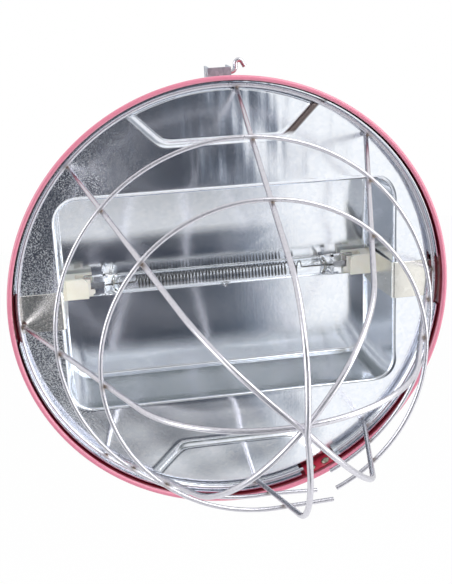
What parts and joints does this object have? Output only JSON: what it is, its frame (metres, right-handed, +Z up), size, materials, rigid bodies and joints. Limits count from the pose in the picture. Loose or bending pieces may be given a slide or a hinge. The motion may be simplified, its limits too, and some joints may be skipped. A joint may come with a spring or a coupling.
{
  "type": "infrared heat lamp",
  "caption": "Round hanging infrared heat lamp: red drum shade, pressed mirror tray, linear quartz lamp in ceramic holders, wire dome guard and wire hook.",
  "frame": {"origin": "under the crown of the hanging hook, where the hook bears on what carries it", "axes": "+Z up, the lamp's mouth and guard face -Y, +X to the viewer's right"},
  "size_m": [0.28, 0.3108, 0.2855],
  "materials": {
    "red_paint": "gloss paint on steel sheet",
    "rivet": "plain steel, a little dull",
    "reflector_sheet": "bright rolled sheet",
    "galvanised_strip": "galvanised sheet",
    "holder_ceramic": "cream steatite ceramic, semi matt",
    "screw": "zinc plated",
    "spring_steel": "spring steel",
    "contact_metal": "brass contact, silver faced",
    "quartz": "clear quartz glass",
    "filament": "dark tungsten wire",
    "foil": "molybdenum foil",
    "cap_ceramic": "white ceramic",
    "guard_wire": "bright plated wire",
    "grommet_rubber": "black silicone rubber",
    "lead_sleeve": "white glass-fibre sleeve",
    "gland_plastic": "black nylon"
  },
  "bodies": {
    "lamp_body": {"shade_drum": "red_paint", "back_plate": "red_paint", "seam_rivets": "rivet", "reflector": "reflector_sheet", "left_strip_bracket": "galvanised_strip", "right_strip_bracket": "galvanised_strip", "strip_rivets": "rivet", "left_lampholder": "holder_ceramic", "right_lampholder": "holder_ceramic", "holder_screws": "screw", "contact_spring": "spring_steel", "fixed_contact": "contact_metal", "lead_bushings": "holder_ceramic", "hanger_bracket": "galvanised_strip", "hanger_rivets": "rivet", "terminal_cover": "galvanised_strip", "cover_screws": "screw", "terminal_block": "holder_ceramic", "block_screws": "screw", "earth_screw": "screw", "lead_grommets": "grommet_rubber", "left_internal_lead": "lead_sleeve", "right_internal_lead": "lead_sleeve", "gland_body": "gland_plastic", "gland_seal": "grommet_rubber", "gland_nut": "gland_plastic", "gland_locknut": "screw"},
    "plunger": {"contact_plunger": "contact_metal"},
    "lamp_tube": {"quartz_tube": "quartz", "filament_coil": "filament", "filament_leads": "filament", "sealing_foils": "foil", "end_caps": "cap_ceramic", "end_contacts": "contact_metal"},
    "guard": {"guard_base_ring": "guard_wire", "guard_middle_ring": "guard_wire", "guard_front_ring": "guard_wire", "guard_hoop_a": "guard_wire", "guard_hoop_b": "guard_wire", "guard_hoop_c": "guard_wire", "guard_hoop_d": "guard_wire"},
    "hook": {"hanger_hook": "guard_wire"}
  },
  "joints": [
    {"name": "guard_slide", "type": "slide", "parent": "lamp_body", "child": "guard", "axis": [0, -1, 0], "range_m": [0, 0.04]},
    {"name": "tube_shift", "type": "slide", "parent": "lamp_body", "child": "lamp_tube", "axis": [-1, 0, 0], "range_m": [0, 0.003], "stiffness_N_per_m": 800, "springref_m": -0.006},
    {"name": "plunger_slide", "type": "slide", "parent": "lamp_body", "child": "plunger", "axis": [-1, 0, 0], "range_m": [0, 0.003], "deforming": ["contact_spring"]},
    {"name": "hook_swing", "type": "hinge", "parent": "lamp_body", "child": "hook", "pos_m": [-0.0023, 0, -0.0057], "axis": [1, 0, 0], "range_deg": [-85, 85]}
  ],
  "couplings": [
    {"joint": "plunger_slide", "follows": "tube_shift", "ratio": 1}
  ]
}
